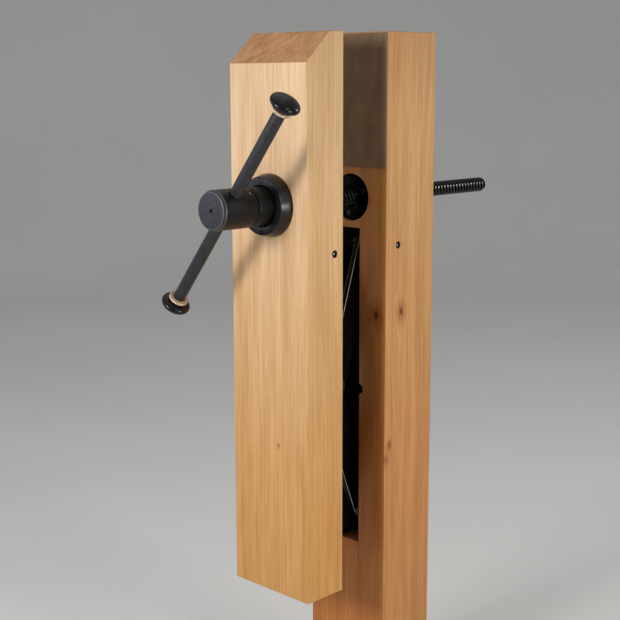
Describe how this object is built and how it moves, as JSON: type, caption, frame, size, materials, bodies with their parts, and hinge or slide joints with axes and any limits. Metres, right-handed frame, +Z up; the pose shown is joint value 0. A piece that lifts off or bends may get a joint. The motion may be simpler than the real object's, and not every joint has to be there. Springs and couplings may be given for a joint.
{
  "type": "leg vise",
  "caption": "Wooden leg vise on its bench leg: a tall chop drawn to the leg by a hand screw with a sliding T-handle, and kept parallel by crossed steel arms.",
  "frame": {"origin": "centre of the leg's foot, on the floor", "axes": "+Z up along the leg; -Y to the front, where the handle is; +X to the right of a person who faces the front"},
  "size_m": [0.2132, 0.492, 0.864],
  "materials": {
    "chop_wood": "hardwood with fine straight grain, planed and oiled, satin",
    "leg_wood": "knotty hardwood, planed and oiled, satin",
    "jaw_suede": "olive-brown suede, matt",
    "grip_leather": "stacked vegetable-tanned leather with bare cut edges",
    "black_steel": "black oxide, satin, with fine turning marks",
    "gloss_black_steel": "black oxide, polished and oiled",
    "plain_steel": "plain ground steel",
    "bronze": "oiled sintered bronze"
  },
  "bodies": {
    "leg": {"leg_post": "leg_wood", "suede_liner": "jaw_suede", "screw_nut": "black_steel", "nut_screw_1": "black_steel", "nut_screw_2": "black_steel", "nut_screw_3": "black_steel", "leg_pivot_pin": "plain_steel", "leg_pin_grub_screw": "black_steel", "leg_spacer_left": "plain_steel", "leg_spacer_right": "plain_steel", "leg_wear_plate": "plain_steel", "leg_plate_screw_1": "plain_steel", "leg_plate_screw_2": "plain_steel"},
    "chop": {"chop": "chop_wood", "front_flange": "black_steel", "flange_screw_1": "black_steel", "flange_screw_2": "black_steel", "thrust_washer_front": "bronze", "thrust_washer_rear": "bronze", "chop_pivot_pin": "plain_steel", "chop_pin_grub_screw": "black_steel", "chop_spacer_left": "plain_steel", "chop_spacer_right": "plain_steel", "chop_wear_plate": "plain_steel", "chop_plate_screw_1": "plain_steel", "chop_plate_screw_2": "plain_steel"},
    "screw": {"hub": "black_steel", "vise_screw": "gloss_black_steel", "retaining_collar": "plain_steel", "collar_grub_screw": "plain_steel", "hub_grub_screw": "black_steel"},
    "handle": {"handle_bar": "black_steel", "leather_washer_upper": "grip_leather", "leather_washer_lower": "grip_leather", "knob_upper": "gloss_black_steel", "knob_lower": "gloss_black_steel"},
    "leg_arm": {"leg_arm": "black_steel", "leg_arm_bushing": "bronze", "leg_arm_roller": "plain_steel", "leg_arm_roller_pin": "black_steel", "centre_bolt": "black_steel", "centre_nut": "black_steel", "centre_washer_left": "black_steel", "centre_washer_right": "black_steel"},
    "chop_arm": {"chop_arm": "black_steel", "chop_arm_bushing": "bronze", "chop_arm_roller": "plain_steel", "chop_arm_roller_pin": "black_steel"}
  },
  "joints": [
    {"name": "chop_slide", "type": "slide", "parent": "leg", "child": "chop", "axis": [0, -1, 0], "range_m": [-0.0732, 0.1017]},
    {"name": "screw_turn", "type": "hinge", "parent": "chop", "child": "screw", "pos_m": [0.0045, -0.2, 0.668], "axis": [0, -1, 0], "range_deg": [-2072, 2880]},
    {"name": "handle_slide", "type": "slide", "parent": "screw", "child": "handle", "axis": [0.6211, 0, 0.7837], "range_m": [-0.114, 0.1149]},
    {"name": "leg_arm_swing", "type": "hinge", "parent": "leg", "child": "leg_arm", "pos_m": [0.0045, -0.0222, 0.6122], "axis": [-1, 0, 0], "range_deg": [-12.3, 17.1]},
    {"name": "chop_arm_swing", "type": "hinge", "parent": "chop", "child": "chop_arm", "pos_m": [0.0045, -0.1342, 0.6122], "axis": [1, 0, 0], "range_deg": [-12.3, 17.1]}
  ],
  "couplings": [
    {"joint": "chop_slide", "follows": "screw_turn", "m_per_rad": 0.0020213},
    {"joint": "leg_arm_swing", "follows": "screw_turn", "ratio": 0.0059071},
    {"joint": "chop_arm_swing", "follows": "screw_turn", "ratio": 0.0059071}
  ]
}
